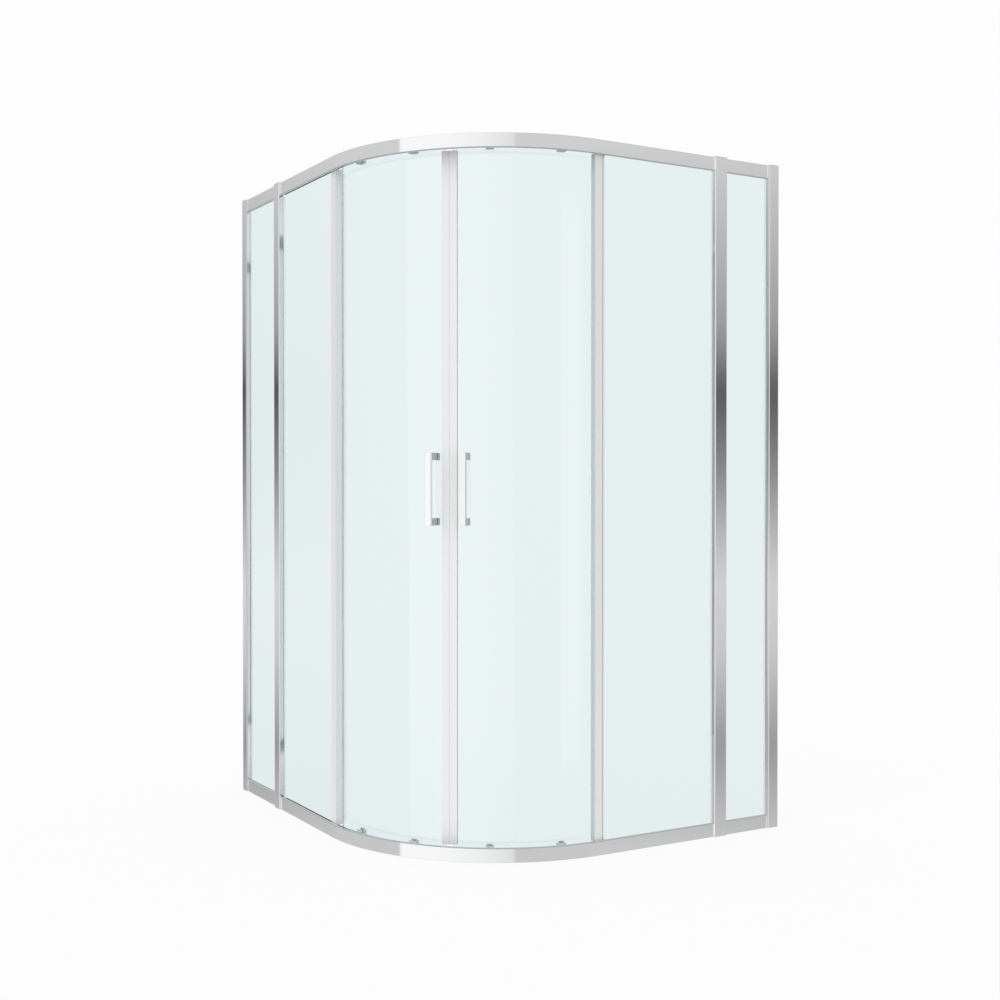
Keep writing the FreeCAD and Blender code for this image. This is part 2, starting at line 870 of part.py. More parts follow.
turn = derive("door_turn", arc_degrees(size.door_travel, track_radius))
rear = rollers[1]
rear_end_y = derive("rear_end_y", pivot_y - track_radius * sine(rear.heading - turn))
stop_along = derive("stop_along", rear_end_y - face_y + size.wheel_radius + size.stop_gap)
stops = []
for end, z in (("foot", ledge_drop - size.lip_height - size.stop_height), ("head", top - ledge_drop)):
    block = side_box("left_stop_" + end, rail_back, stop_along, z, size.stop_depth, size.stop_length,
                     size.stop_height)
    stops += [block, mirrored("right_stop_" + end, block)]
part("door_stops", group("door_stops", stops))


# Doors

def make_door_glass():
    blank = arc_shell("left_door_pane", door_outer, door_inner, -overlap_angle, leading_angle, size.door_foot,
                      door_top - size.door_foot)
    through = size.glass_thick + 2 * size.cutter_extra
    start = door_outer + size.cutter_extra
    holes = []
    for roller in rollers:
        tag = "left_door_%s" % roller.name
        holes.append(arc_rod(tag + "_hole", roller.angle, start, stud_top, size.glass_hole_radius, through))
        holes.append(arc_rod(tag + "_notch", roller.angle, start, size.guide_stud, size.glass_hole_radius,
                             through))
        mouth_foot = size.door_foot - size.cutter_extra
        holes.append(arc_box(tag + "_mouth", roller.angle, start, mouth_foot, through,
                             2 * size.glass_hole_radius, size.guide_stud - mouth_foot))
    for end, z in handle_feet():
        holes.append(arc_rod("left_door_handle_hole_" + end, handle_angle, start, z, size.glass_hole_radius,
                             through))
    return cut("left_door_glazing", blank, holes)


def handle_feet():
    reach = (size.handle_length - size.handle_foot) / 2
    return (("low", size.handle_height - reach), ("high", size.handle_height + reach))


def edge_strip(name, start, end, half_depth, glass_end):
    """A strip round an upright edge of the door glass, with a slot for the glass."""
    middle = (door_outer + door_inner) / 2
    z = seam_foot
    height = top - 2 * seam_foot
    blank = arc_shell(name + "_blank", middle + half_depth, middle - half_depth, start, end, z, height)
    low, high = glass_end
    slot = arc_shell(name + "_slot", door_outer + size.seal_play, door_inner - size.seal_play, low, high, z,
                     height)
    return cut(name, blank, [slot])


def make_magnetic_seal():
    width = arc_degrees(size.magnet_width, door_outer)
    start = meeting_angle - width
    return edge_strip("left_magnet_strip", start, meeting_angle, size.magnet_depth / 2,
                      (start - width, leading_angle))


def make_trailing_seal():
    width = arc_degrees(size.tail_width, door_outer)
    start = -overlap_angle - arc_degrees(size.tail_wall, door_outer)
    half = size.glass_thick / 2 + size.tail_wall
    return edge_strip("left_tail_strip", start, start + width, half, (-overlap_angle, start + 2 * width))


def soft_bar(name, outline):
    """A piece of the handle's width, cut to an outline, with all its edges rounded."""
    body = extruded(name, "XZ_Plane", [outline], size.handle_width, middle=True)
    return round_edges(body, name + "_rounding", size.handle_round, lambda edge: edge.Length > 0)


def glass_seat(name, angle, z, height):
    """Cutter in the shape of the door glass near an arc angle, for pieces that bear on its faces."""
    return arc_shell(name, door_outer + size.seat_play, door_inner - size.seat_play, angle - seat_angle,
                     angle + seat_angle, z, height)


def stand_on_glass(body, radius, heading, z):
    """Put a piece of the handle on the door glass, pointing away from it."""
    x = arc_x - radius * cosine(handle_angle)
    y = arc_y - radius * sine(handle_angle)
    place(body, x, y, z, angle=heading)


def handle_hole(name, radius, z):
    return arc_rod(name, handle_angle, radius, z, size.handle_screw_radius + size.handle_screw_play,
                   size.handle_screw_reach)


def make_handle():
    """A D-shaped handle: a square bar on two feet, drilled for its screws."""
    reach = size.handle_standoff + size.handle_thick
    half = size.handle_length / 2
    inner = half - size.handle_foot
    body = soft_bar("left_bow_body", [
        (0, -half), (reach, -half), (reach, half), (0, half), (0, inner), (size.handle_standoff, inner),
        (size.handle_standoff, -inner), (0, -inner)])
    stand_on_glass(body, door_outer, handle_angle + 180, size.handle_height)
    cutters = [handle_hole("left_bow_hole_" + end, door_outer + size.handle_screw_reach, z)
               for end, z in handle_feet()]
    cutters.append(glass_seat("left_bow_seat", handle_angle, size.handle_height - half, size.handle_length))
    return cut("left_bow", body, cutters)


def make_knobs():
    """Short knobs inside the door, one behind each foot of the handle, that its screws run into."""
    half = size.handle_foot / 2
    knobs = []
    for end, z in handle_feet():
        tag = "left_knob_" + end
        body = soft_bar(tag + "_body", [
            (0, -half), (size.knob_depth, -half), (size.knob_depth, half), (0, half)])
        stand_on_glass(body, door_inner, handle_angle, z)
        seat = glass_seat(tag + "_seat", handle_angle, z - half, size.handle_foot)
        knobs.append(cut(tag, body, [handle_hole(tag + "_hole", door_inner, z), seat]))
    return group("left_knobs", knobs)


def make_handle_screws():
    reach = size.handle_screw_reach
    length = size.glass_thick + 2 * reach
    start = door_outer + reach
    return group("left_handle_fixings", [
        arc_rod("left_handle_fixing_" + end, handle_angle, start, z, size.handle_screw_radius, length)
        for end, z in handle_feet()])


def top_bracket(roller):
    """Plate on the outside of the glass with the boss that holds the wheel's axle."""
    tag = "left_top_bracket_" + roller.name
    plate = arc_box(tag + "_plate", roller.angle, door_outer + size.plate_thick, top - size.plate_foot,
                    size.plate_thick, size.plate_width, size.plate_foot - size.plate_top)
    boss = wheel_rod(tag + "_boss", roller, boss_start, wheel_level, size.boss_radius,
                     axle_end(roller) - boss_start)
    mouth = boss_start - size.cutter_extra
    axle_hole = wheel_rod(tag + "_axle_hole", roller, mouth, wheel_level, size.axle_radius + size.press_play,
                          axle_end(roller) - mouth)
    stud_hole = arc_rod(tag + "_stud_hole", roller.angle, door_outer + size.plate_thick + size.cutter_extra,
                        stud_top, size.stud_radius + size.stud_play, size.plate_thick + 2 * size.cutter_extra)
    return cut(tag, fuse(tag + "_solid", [plate, boss]), [axle_hole, stud_hole])


def axle_end(roller):
    """How far from the wheel's middle its axle reaches into the bracket."""
    return roller.standoff - size.plate_thick / 2


def top_axle(roller):
    tag = "left_top_axle_" + roller.name
    start = size.axle_play - size.wheel_width / 2
    return wheel_rod(tag, roller, start, wheel_level, size.axle_radius, axle_end(roller) - start)


def wheel(name, roller, z, radius):
    start = -size.wheel_width / 2
    tyre = wheel_rod(name + "_tyre", roller, start, z, radius, size.wheel_width)
    bore = wheel_rod(name + "_bore", roller, start, z, size.axle_radius + size.axle_play, size.wheel_width)
    return cut(name, tyre, [bore])


def top_clamp(roller):
    """Clamp block on the inside of the glass with its stud."""
    tag = "left_top_clamp_" + roller.name
    z = stud_top - size.clamp_height / 2
    block = arc_box(tag + "_block", roller.angle, door_inner, z, size.clamp_depth, size.plate_width,
                    size.clamp_height)
    pad = cut(tag + "_pad", block, [glass_seat(tag + "_seat", roller.angle, z, size.clamp_height)])
    stud = arc_rod(tag + "_stud", roller.angle, door_outer + size.plate_thick, stud_top, size.stud_radius,
                   size.plate_thick + size.glass_thick + size.clamp_depth / 2)
    return fuse(tag, [pad, stud])


def guide_clamp(roller):
    """Pad on the outside of the glass with the stud that the bottom roller's housing screws on."""
    tag = "left_guide_clamp_" + roller.name
    outside = door_outer + size.pad_thick
    pad = arc_box(tag + "_pad", roller.angle, outside, size.housing_foot + size.pad_rise, size.pad_thick,
                  size.plate_width, size.housing_height - size.pad_rise)
    length = size.pad_thick + size.glass_thick + size.housing_depth
    stud = arc_rod(tag + "_stud", roller.angle, outside, size.guide_stud, size.stud_radius, length)
    return fuse(tag, [pad, stud])


slider_outer = derive("slider_outer", door_inner - size.slider_gap)
slider_inner = derive("slider_inner", slider_outer - size.slider_thick)
stud_crown = derive("stud_crown", size.guide_stud + size.stud_radius)
spring_top = derive("spring_top", stud_crown + size.spring_length)


def bottom_housing(roller):
    """Block on the inside of the glass with an upright channel for the sprung slider."""
    tag = "left_housing_" + roller.name
    z = size.housing_foot
    block = arc_box(tag + "_block", roller.angle, door_inner, z, size.housing_depth, size.plate_width,
                    size.housing_height)
    channel = arc_box(tag + "_channel", roller.angle, door_outer, z,
                      door_outer - slider_inner + size.slider_play,
                      size.slider_width + 2 * size.slider_play, size.housing_height)
    hole = arc_rod(tag + "_hole", roller.angle, door_inner, size.guide_stud,
                   size.stud_radius + size.stud_play, size.housing_depth)
    seat = glass_seat(tag + "_seat", roller.angle, z, size.housing_height)
    return cut(tag, block, [channel, hole, seat])


def bottom_slider(roller):
    """Bar that slides in the housing, with a foot under the glass that carries the wheel's axle."""
    tag = "left_slider_" + roller.name
    foot_z = guide_level - size.foot_height / 2
    bar = arc_box(tag + "_bar", roller.angle, slider_outer, foot_z, size.slider_thick, size.slider_width,
                  size.slider_top - foot_z)
    foot_outer = door_outer + size.pad_thick
    foot = arc_box(tag + "_foot", roller.angle, foot_outer, foot_z, foot_outer - slider_inner,
                   size.foot_width, size.foot_height)
    boss_length = roller.standoff - boss_start - size.pad_thick + size.boss_root
    boss = wheel_rod(tag + "_boss", roller, boss_start, guide_level, size.foot_boss_radius, boss_length)
    pin_start = size.axle_play - size.wheel_width / 2
    pin = wheel_rod(tag + "_pin", roller, pin_start, guide_level, size.axle_radius,
                    boss_start + boss_length - pin_start)
    slot_half = size.stud_radius + size.slot_play
    slot_foot = size.guide_stud - slot_half
    slot = arc_box(tag + "_slot", roller.angle, slider_outer, slot_foot, size.slider_thick, 2 * slot_half,
                   spring_top - slot_foot)
    return cut(tag, fuse(tag + "_solid", [bar, foot, boss, pin]), [slot])


def release_spring(roller):
    """Sleeve of the coil spring's size, between the stud and the top of the slider's slot."""
    tag = "left_spring_" + roller.name
    middle = (slider_outer + slider_inner) / 2
    x = arc_x - middle * cosine(roller.angle)
    y = arc_y - middle * sine(roller.angle)
    bore = size.spring_radius - size.spring_wire
    outside = upright(tag + "_outside", x, y, stud_crown, size.spring_radius, size.spring_length)
    inside = upright(tag + "_inside", x, y, stud_crown, bore, size.spring_length)
    return cut(tag, outside, [inside])


seat_angle = derive("seat_angle", arc_degrees(size.plate_width, door_inner))
both_sides("door_glass", make_door_glass())
both_sides("magnetic_seal", make_magnetic_seal())
both_sides("trailing_seal", make_trailing_seal())
both_sides("outer_handle", make_handle())
both_sides("inner_knobs", make_knobs())
both_sides("handle_screws", make_handle_screws())
both_sides("top_roller_brackets", group("left_top_brackets", [top_bracket(item) for item in rollers]))
both_sides("top_roller_axles", group("left_top_axles", [top_axle(item) for item in rollers]))
both_sides("roller_clamps", group("left_clamps", [clamp(item) for clamp in (top_clamp, guide_clamp)
                                                  for item in rollers]))
both_sides("bottom_roller_housings", group("left_housings", [bottom_housing(item) for item in rollers]))
for roller in rollers:
    tag = roller.name
    both_sides("top_%s_wheel" % tag, wheel("left_top_wheel_" + tag, roller, wheel_level, size.wheel_radius))
    both_sides("bottom_%s_wheel" % tag,
               wheel("left_bottom_wheel_" + tag, roller, guide_level, size.guide_radius))
    both_sides("bottom_%s_slider" % tag, bottom_slider(roller))
    both_sides("bottom_%s_spring" % tag, release_spring(roller))


# Check and export

doc.recompute()
for item in doc.Objects:
    faults = [state for state in item.State if state != "Up-to-date"]
    if faults:
        raise RuntimeError("%s is %s" % (item.Name, ", ".join(faults)))
for name, item in parts.items():
    if item.Shape.isNull() or not item.Shape.isValid() or not item.Shape.Solids:
        raise RuntimeError(name + " has no valid solid")

os.makedirs("parts", exist_ok=True)
for name, item in parts.items():
    item.Shape.exportStep("parts/%s.step" % name)
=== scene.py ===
"""Corner shower enclosure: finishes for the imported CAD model, seal details, studio and camera.

Units are metres, in the CAD model's own frame: Z is up, the room's corner lies towards +X and +Y.
"""

import json
import math

import bpy
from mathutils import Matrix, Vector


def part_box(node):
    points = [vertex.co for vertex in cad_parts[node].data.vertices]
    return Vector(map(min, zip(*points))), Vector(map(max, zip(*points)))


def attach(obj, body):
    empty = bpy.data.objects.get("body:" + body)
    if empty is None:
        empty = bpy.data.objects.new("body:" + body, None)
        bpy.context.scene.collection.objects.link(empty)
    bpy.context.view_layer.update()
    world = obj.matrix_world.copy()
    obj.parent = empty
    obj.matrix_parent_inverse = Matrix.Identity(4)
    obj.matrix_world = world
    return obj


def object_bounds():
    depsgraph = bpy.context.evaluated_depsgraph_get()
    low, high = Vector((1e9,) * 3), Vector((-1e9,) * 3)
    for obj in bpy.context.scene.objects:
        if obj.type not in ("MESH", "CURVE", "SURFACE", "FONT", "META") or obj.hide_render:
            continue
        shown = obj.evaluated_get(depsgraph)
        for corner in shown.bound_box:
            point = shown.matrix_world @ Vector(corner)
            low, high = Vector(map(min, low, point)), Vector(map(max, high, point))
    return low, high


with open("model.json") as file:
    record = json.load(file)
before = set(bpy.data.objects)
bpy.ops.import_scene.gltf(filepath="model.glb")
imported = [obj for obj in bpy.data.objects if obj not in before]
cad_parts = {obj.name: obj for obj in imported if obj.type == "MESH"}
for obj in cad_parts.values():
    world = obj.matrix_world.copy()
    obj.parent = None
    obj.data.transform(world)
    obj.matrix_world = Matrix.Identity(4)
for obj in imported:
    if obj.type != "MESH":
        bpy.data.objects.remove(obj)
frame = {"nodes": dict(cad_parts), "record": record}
cad_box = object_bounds()

# Driving sizes of the enclosure, as the CAD model has them
ARC_RADIUS = 0.550
DOOR_SETBACK = 0.038
GLASS_THICK = 0.006
MAGNET_WIDTH = 0.021
MAGNET_DEPTH = 0.012
SEAM_WIDTH = 0.031
SIDES = ("left", "right")

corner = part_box("top_rail")[0]
ARC_CENTRE = (corner.x + ARC_RADIUS, corner.y + ARC_RADIUS)

# Colours, as linear values
WHITE_ROOM = 0.982
PANE_TINT = (0.905, 0.944, 0.946, 1)
DOOR_TINT = (0.925, 0.966, 0.970, 1)
GLASS_EDGE = (0.40, 0.58, 0.57, 1)
MAGNET_PALE = (0.97, 0.975, 0.975, 1)
SEAM_PALE = (0.91, 0.915, 0.915, 1)
# Own colours of the seams' sides: the left seam's side facing -Y is painted lighter, as painted light;
# the right seam's side facing -X is painted a darker green, as painted shade tinted by the glass
# beside it
SEAM_SIDE_PAINTED_LIGHT = (0.92, 0.925, 0.925, 1)
SEAM_SIDE_PAINTED_GREEN_SHADE = (0.66, 0.76, 0.755, 1)
# Colour of the painted shadow line along the right seam near its far edge
SEAM_SHADOW_LINE = (0.52, 0.55, 0.55, 1)
ALUMINIUM_LIGHT = (0.925, 0.928, 0.932, 1)
ALUMINIUM_DARK = (0.880, 0.885, 0.892, 1)
CHROME_LIGHT = (0.945, 0.948, 0.950, 1)
CHROME_DARK = (0.885, 0.892, 0.900, 1)
STEEL_LIGHT = (0.56, 0.57, 0.58, 1)
STEEL_DARK = (0.42, 0.43, 0.44, 1)
PLATED_LIGHT = (0.80, 0.81, 0.82, 1)
PLATED_DARK = (0.68, 0.70, 0.71, 1)
CLEAR_BODY = (0.88, 0.90, 0.90, 1)
CLEAR_TINT = (0.985, 0.992, 0.992, 1)
DOOR_DEEP = (0.76, 0.87, 0.86, 1)

# Seals: how pale the flutes' troughs stay, as painted shade in the troughs; the flutes' spacing; and
# the place, from the far end, of the painted shadow line on the right seam
MAGNET_TROUGH_SHADE = 0.95
SEAM_TROUGH_SHADE = 0.88
FLUTE_PITCH = 0.0040
SHADOW_LINE_SOFT = 0.0003
SHADOW_LINE_START = 0.0074
SHADOW_LINE_END = 0.0041

# Glass: gloss seen square on, and how much of the doors' edges is solid green
GLASS_IOR = 1.10
FLAT_GLOSS = 0.02
DOOR_GLOSS = 0.10
RIM_SHARE = 0.35


class Amount:
    """A value in a node tree that takes part in Python arithmetic."""

    def __init__(self, nodes, socket):
        self.nodes = nodes
        self.socket = socket

    def maths(self, operation, *values):
        node = self.nodes.add("ShaderNodeMath", {"operation": operation}, dict(enumerate(values)))
        return Amount(self.nodes, node.outputs[0])

    def __add__(self, other):
        return self.maths("ADD", self, other)

    def __sub__(self, other):
        return self.maths("SUBTRACT", self, other)

    def __rsub__(self, other):
        return self.maths("SUBTRACT", other, self)

    def __mul__(self, other):
        return self.maths("MULTIPLY", self, other)

    def __truediv__(self, other):
        return self.maths("DIVIDE", self, other)

    def __abs__(self):
        return self.maths("ABSOLUTE", self)

    __radd__ = __add__
    __rmul__ = __mul__

    def wave(self, pitch):
        """A smooth wave from 0 to 1 that repeats at each pitch."""
        return self.maths("SINE", self * (2 * math.pi / pitch)) * 0.5 + 0.5

    def rise(self, low, high):
        """Climbs smoothly from 0 at low to 1 at high."""
        node = self.nodes.add("ShaderNodeMapRange", {"interpolation_type": "SMOOTHSTEP"},
                              {"Value": self, "From Min": low, "From Max": high})
        return Amount(self.nodes, node.outputs["Result"])

    def within(self, low, high, soft):
        """1 between low and high, with soft ends."""
        return self.rise(low - soft, low + soft) * (1 - self.rise(high - soft, high + soft))


class Nodes:
    """A node tree, with one way to add any node to it."""

    def __init__(self, tree):
        self.tree = tree
        tree.nodes.clear()

    def add(self, kind, settings=None, values=None):
        node = self.tree.nodes.new(kind)
        for name, setting in (settings or {}).items():
            if name == "stops":
                self.fill_ramp(node.color_ramp, setting)
            else:
                setattr(node, name, setting)
        for name, value in (values or {}).items():
            for source in value if isinstance(value, list) else [value]:
                self.feed(node.inputs[name], source)
        return node

    def feed(self, socket, source):
        if isinstance(source, Amount):
            source = source.socket
        if isinstance(source, bpy.types.NodeSocket):
            self.tree.links.new(source, socket)
        else:
            socket.default_value = source

    @staticmethod
    def fill_ramp(ramp, stops):
        while len(ramp.elements) < len(stops):
            ramp.elements.new(1)
        for element, (place, colour) in zip(ramp.elements, stops):
            element.position = place
            element.color = colour

    def amount(self, kind, output, settings=None, values=None):
        return Amount(self, self.add(kind, settings, values).outputs[output])

    def mix(self, share, first, second):
        """A colour between two others."""
        node = self.add("ShaderNodeMix", {"data_type": "RGBA"}, {0: share, 6: first, 7: second})
        return node.outputs[2]

    def blend(self, share, first, second):
        """A shader between two others."""
        node = self.add("ShaderNodeMixShader", None, {0: share, 1: first, 2: second})
        return node.outputs[0]

    def place(self):
        """Object coordinates as a vector socket."""
        return self.add("ShaderNodeTexCoord").outputs["Object"]

    def axes(self, vector):
        node = self.add("ShaderNodeSeparateXYZ", None, {0: vector})
        return [Amount(self, output) for output in node.outputs]

    def noise(self, scale, detail=2.0, stretch=(1, 1, 1)):
        """Noise from 0 to 1 on object coordinates, drawn out where stretch is small."""
        mapping = self.add("ShaderNodeMapping", {"vector_type": "POINT"},
                           {"Vector": self.place(), "Scale": stretch})
        return self.amount("ShaderNodeTexNoise", "Fac", {"noise_dimensions": "3D"},
                           {"Vector": mapping.outputs[0], "Scale": scale, "Detail": detail})

    def facing(self, direction):
        """How far the surface faces a direction: 1 for square on, -1 for turned away."""
        normal = self.add("ShaderNodeTexCoord").outputs["Normal"]
        return self.amount("ShaderNodeVectorMath", "Value", {"operation": "DOT_PRODUCT"},
                           {0: normal, 1: direction})

    def bump(self, height, strength, distance):
        node = self.add("ShaderNodeBump", None,
                        {"Height": height, "Strength": strength, "Distance": distance})
        return node.outputs[0]

    def principled(self, **values):
        names = {name.replace("_", " "): value for name, value in values.items()}
        return self.add("ShaderNodeBsdfPrincipled", None, names).outputs[0]

    def surface(self, shader, output="ShaderNodeOutputMaterial"):
        self.add(output, None, {"Surface": shader})


def finish(name):
    """A new material and its nodes."""
    material = bpy.data.materials.new(name)
    material.use_nodes = True
    return material, Nodes(material.node_tree)


# Metal finishes

def polished_aluminium(name, draw):
    """Bright anodised extrusion with faint draw lines along its length."""
    material, nodes = finish(name)
    lines = nodes.noise(1, 3, draw)
    clouds = nodes.noise(7, 3)
    tone = nodes.mix(lines * 0.6 + clouds * 0.4, ALUMINIUM_LIGHT, ALUMINIUM_DARK)
    nodes.surface(nodes.principled(
        Base_Color=tone, Metallic=1.0, Roughness=0.035 + 0.05 * lines + 0.03 * clouds,
        Normal=nodes.bump(lines, 0.05, 0.0001)))
    return material


def chrome(name):
    """Plated metal: nearly a mirror, with fine wipe marks."""
    material, nodes = finish(name)
    wipes = nodes.noise(160, 4, (1, 1, 0.15))
    clouds = nodes.noise(35, 2)
    tone = nodes.mix(clouds, CHROME_LIGHT, CHROME_DARK)
    nodes.surface(nodes.principled(
        Base_Color=tone, Metallic=1.0, Roughness=0.02 + 0.05 * wipes,
        Normal=nodes.bump(wipes, 0.04, 0.0001)))
    return material


def bright_steel():
    """Turned and rolled steel of the screws, axles and springs."""
    material, nodes = finish("turned_steel")
    marks = nodes.noise(2200, 3)
    tone = nodes.mix(marks, STEEL_LIGHT, STEEL_DARK)
    nodes.surface(nodes.principled(
        Base_Color=tone, Metallic=1.0, Roughness=0.18 + 0.2 * marks,
        Normal=nodes.bump(marks, 0.2, 0.0001)))
    return material


# Plastics and rubber

def moulded(name, light, dark, gloss, grain):
    """Moulded plastic or rubber with a fine grain and slow changes of tone."""
    material, nodes = finish(name)
    clouds = nodes.noise(60, 3)
    pores = nodes.noise(grain, 2)
    tone = nodes.mix(clouds * 0.7 + pores * 0.3, light, dark)
    nodes.surface(nodes.principled(
        Base_Color=tone, Roughness=gloss + 0.15 * pores, Normal=nodes.bump(pores, 0.15, 0.0001)))
    return material


def plated_plastic():
    """Silver plated moulding of the caps."""
    material, nodes = finish("plated_moulding")
    clouds = nodes.noise(80, 3)
    ripple = nodes.noise(500, 2)
    tone = nodes.mix(clouds, PLATED_LIGHT, PLATED_DARK)
    nodes.surface(nodes.principled(
        Base_Color=tone, Metallic=0.85, Roughness=0.10 + 0.12 * ripple,
        Normal=nodes.bump(ripple, 0.08, 0.0002)))
    return material


def vinyl_seal(name, across, pale, trough_shade, side=None, painted_side_tone=None, shadow_line=None):
    """Pale extruded seal with fine flutes.

    The flutes' troughs are painted darker, as painted shade. One side can get its own colour, painted
    tone for how light falls on that side, and a dark painted shadow line can run along the seal.
    """
    material, nodes = finish(name)
    flutes = across(nodes).wave(FLUTE_PITCH)
    clouds = nodes.noise(25, 2, (1, 1, 0.1))
    # The flutes' troughs are painted darker than their crests: painted shade in the troughs
    shaded_trough = tuple(trough_shade * level for level in pale[:3]) + (1,)
    tone = nodes.mix(flutes * 0.8 + clouds * 0.2, shaded_trough, pale)
    # That side's colour is painted tone for how light falls on it
    if side:
        tone = nodes.mix(nodes.facing(side).rise(0.6, 0.9), tone, painted_side_tone)
    if shadow_line:
        tone = nodes.mix(across(nodes).within(*shadow_line, SHADOW_LINE_SOFT), tone, SEAM_SHADOW_LINE)
    nodes.surface(nodes.principled(
        Base_Color=tone, Roughness=0.28 + 0.12 * clouds, Normal=nodes.bump(flutes, 0.3, 0.0004)))
    return material


def clear_vinyl(name):
    """Clear extruded strip that hardly shows on the glass, a little cloudy along its length."""
    material, nodes = finish(name)
    clouds = nodes.noise(40, 3, (1, 1, 0.05))
    body = nodes.principled(Base_Color=CLEAR_BODY, Roughness=0.2 + 0.15 * clouds)
    gap = nodes.add("ShaderNodeBsdfTransparent", None, {"Color": CLEAR_TINT})
    nodes.surface(nodes.blend(0.02 + 0.05 * clouds, gap.outputs[0], body))
    return material


def along_arc(nodes):
    """Distance along the door's curve."""
    x, y, _ = nodes.axes(nodes.place())
    angle = (y - ARC_CENTRE[1]).maths("ARCTAN2", y - ARC_CENTRE[1], x - ARC_CENTRE[0])
    return angle * (ARC_RADIUS - DOOR_SETBACK)


def along_axis(index):
    """Distance along X (0) or Y (1), for a straight seal."""
    return lambda nodes: nodes.axes(nodes.place())[index]


# Glass

def radial(nodes):
    """Direction from the door's arc centre, level."""
    x, y, _ = nodes.axes(nodes.place())
    level = nodes.add("ShaderNodeCombineXYZ", None,
                      {0: x - ARC_CENTRE[0], 1: y - ARC_CENTRE[1], 2: 0.0})
    unit = nodes.add("ShaderNodeVectorMath", {"operation": "NORMALIZE"}, {0: level.outputs[0]})
    return unit.outputs[0]


def glass_pane(nodes, tint, gloss, film):
    """Tinted see-through faces with gloss, stronger at a slant."""
    front = 1 - nodes.amount("ShaderNodeNewGeometry", "Backfacing")
    slant = nodes.amount("ShaderNodeFresnel", "Fac", None, {"IOR": GLASS_IOR})
    clear = nodes.add("ShaderNodeBsdfTransparent", None, {"Color": tint})
    mirror = nodes.add("ShaderNodeBsdfGlossy", None, {"Roughness": 0.01 + 0.03 * film})
    return nodes.blend((gloss + slant) * front, clear.outputs[0], mirror.outputs[0])


def flat_glass():
    """Toughened glass of the flat panels, whose edges sit in the frame."""
    material, nodes = finish("panel_glass")
    nodes.surface(glass_pane(nodes, PANE_TINT, FLAT_GLOSS, nodes.noise(5, 3)))
    return material


def curved_glass():
    """Toughened glass of the doors, with a deeper green at its edges."""
    material, nodes = finish("door_glass")
    film = nodes.noise(5, 3)
    edge = 1 - abs(nodes.facing(radial(nodes))).rise(0.3, 0.8)
    rim = nodes.principled(Base_Color=GLASS_EDGE, Roughness=0.12 + 0.1 * film)
    deep = nodes.add("ShaderNodeBsdfTransparent", None, {"Color": DOOR_DEEP})
    pane = glass_pane(nodes, DOOR_TINT, DOOR_GLOSS, film)
    nodes.surface(nodes.blend(edge, pane, nodes.blend(RIM_SHARE, deep.outputs[0], rim)))
    return material


# Which finish goes on which CAD node

UPRIGHT_LINES = (700, 700, 1.2)
LEVEL_LINES = (1.2, 1.2, 700)
upright_aluminium = polished_aluminium("upright_extrusion", UPRIGHT_LINES)
level_aluminium = polished_aluminium("rail_extrusion", LEVEL_LINES)
door_pane = curved_glass()
fixed_pane = flat_glass()
magnet_vinyl = vinyl_seal("magnet_seal", along_arc, MAGNET_PALE, MAGNET_TROUGH_SHADE)
# Where the right seam's painted shadow line runs, near its far edge
seam_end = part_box("right_seam_seal")[1].x
right_seam_shadow_line = (seam_end - SHADOW_LINE_START, seam_end - SHADOW_LINE_END)
seam_vinyl = {
    "left": vinyl_seal("left_seam_vinyl", along_axis(1), SEAM_PALE, SEAM_TROUGH_SHADE, (0, -1, 0),
                       SEAM_SIDE_PAINTED_LIGHT),
    "right": vinyl_seal("right_seam_vinyl", along_axis(0), SEAM_PALE, SEAM_TROUGH_SHADE, (-1, 0, 0),
                        SEAM_SIDE_PAINTED_GREEN_SHADE, right_seam_shadow_line),
}
bead_vinyl = clear_vinyl("bead_vinyl")
# Grey of the rail beads: painted shade, standing in for the shadow gap at the rails' edges towards the
# glass
edge_vinyl = moulded("edge_vinyl", (0.46, 0.51, 0.505, 1), (0.36, 0.41, 0.405, 1), 0.35, 700)
roller_plastic = moulded("roller_moulding", (0.86, 0.90, 0.90, 1), (0.76, 0.80, 0.80, 1), 0.30, 900)
slot_finish = {
    "polished_metal": chrome("handle_chrome"),
    "bright_steel": bright_steel(),
    "silver_plastic": plated_plastic(),
    "grey_plastic": moulded("grey_acetal", (0.70, 0.76, 0.76, 1), (0.58, 0.64, 0.64, 1), 0.32, 900),
    "white_wheel": moulded("wheel_nylon", (0.86, 0.86, 0.83, 1), (0.76, 0.76, 0.73, 1), 0.35, 1200),
    "soft_rubber": moulded("stop_rubber", (0.05, 0.05, 0.052, 1), (0.03, 0.03, 0.032, 1), 0.6, 1500),
    "clear_gasket": bead_vinyl,
    "clear_seal": bead_vinyl,
}


def finish_for(node, slot):
    """The finish of a CAD node, from its material slot and its name."""
    if slot == "polished_frame":
        return level_aluminium if node.endswith("rail") else upright_aluminium
    if slot == "clear_glass":
        return door_pane if node.endswith("door_glass") else fixed_pane
    if node.endswith("seam_seal"):
        return seam_vinyl[node.split("_")[0]]
    if node.endswith("magnetic_seal"):
        return magnet_vinyl
    if node.endswith(("clamps", "housings")):
        return roller_plastic
    return slot_finish[slot]


for entry in frame["record"]["subparts"]:
    piece = frame["nodes"][entry["node"]]
    material = finish_for(entry["node"], entry["material_slot"])
    for holder in piece.material_slots:
        holder.material = material


# Ribs along the seals

RIB_RADIUS = 0.0006
RIB_SINK = 0.0003
RIB_SIDES = 8
MAGNET_RIBS = 4
MAGNET_RIB_PITCH = 0.0042
SEAM_RIBS = 5
SEAM_RIB_PITCH = 0.0055


